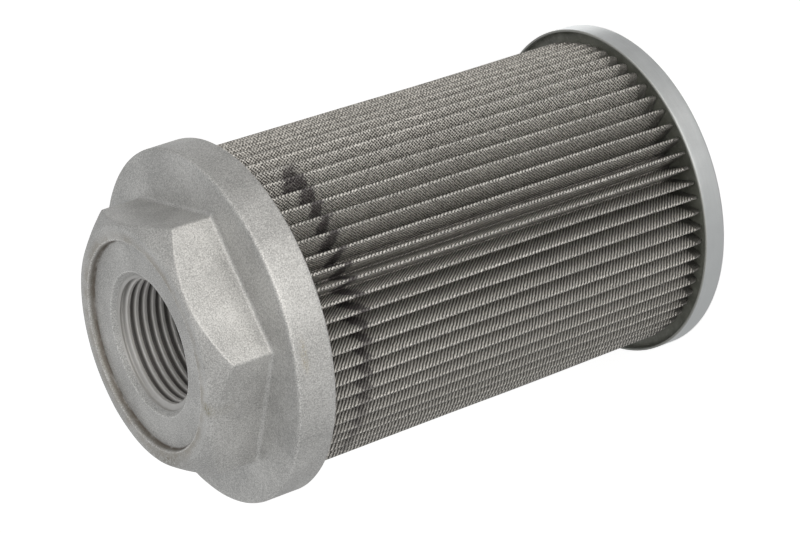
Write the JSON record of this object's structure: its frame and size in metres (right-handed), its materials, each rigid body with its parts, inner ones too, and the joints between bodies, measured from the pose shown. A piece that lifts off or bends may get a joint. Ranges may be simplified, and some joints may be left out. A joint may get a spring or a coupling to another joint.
{
  "type": "hydraulic suction filter",
  "caption": "Cylindrical suction strainer for a hydraulic tank: pleated wire mesh between a pressed end cap and a cast hexagon head with a pipe-threaded port.",
  "frame": {"origin": "centre of the end cap's outer face, which the filter stands on", "axes": "+Z along the filter's axis from the end cap to the threaded head; +X through a corner of the hexagon"},
  "size_m": [0.0877, 0.0876, 0.1416],
  "materials": {
    "cast_aluminium": "as cast, matte and finely grained, with oily dirt in the recess",
    "adhesive": "cured grey-green casting resin",
    "wire_cloth": "woven stainless wire, warm grey, stained near the head",
    "galvanised_sheet": "smooth bluish-grey galvanised sheet"
  },
  "bodies": {
    "root": {"head_casting": "cast_aluminium", "head_bed": "adhesive", "pleated_mesh": "wire_cloth", "seam_clip": "galvanised_sheet", "core_tube": "galvanised_sheet", "cap_bed": "adhesive", "end_cap": "galvanised_sheet"}
  },
  "joints": []
}
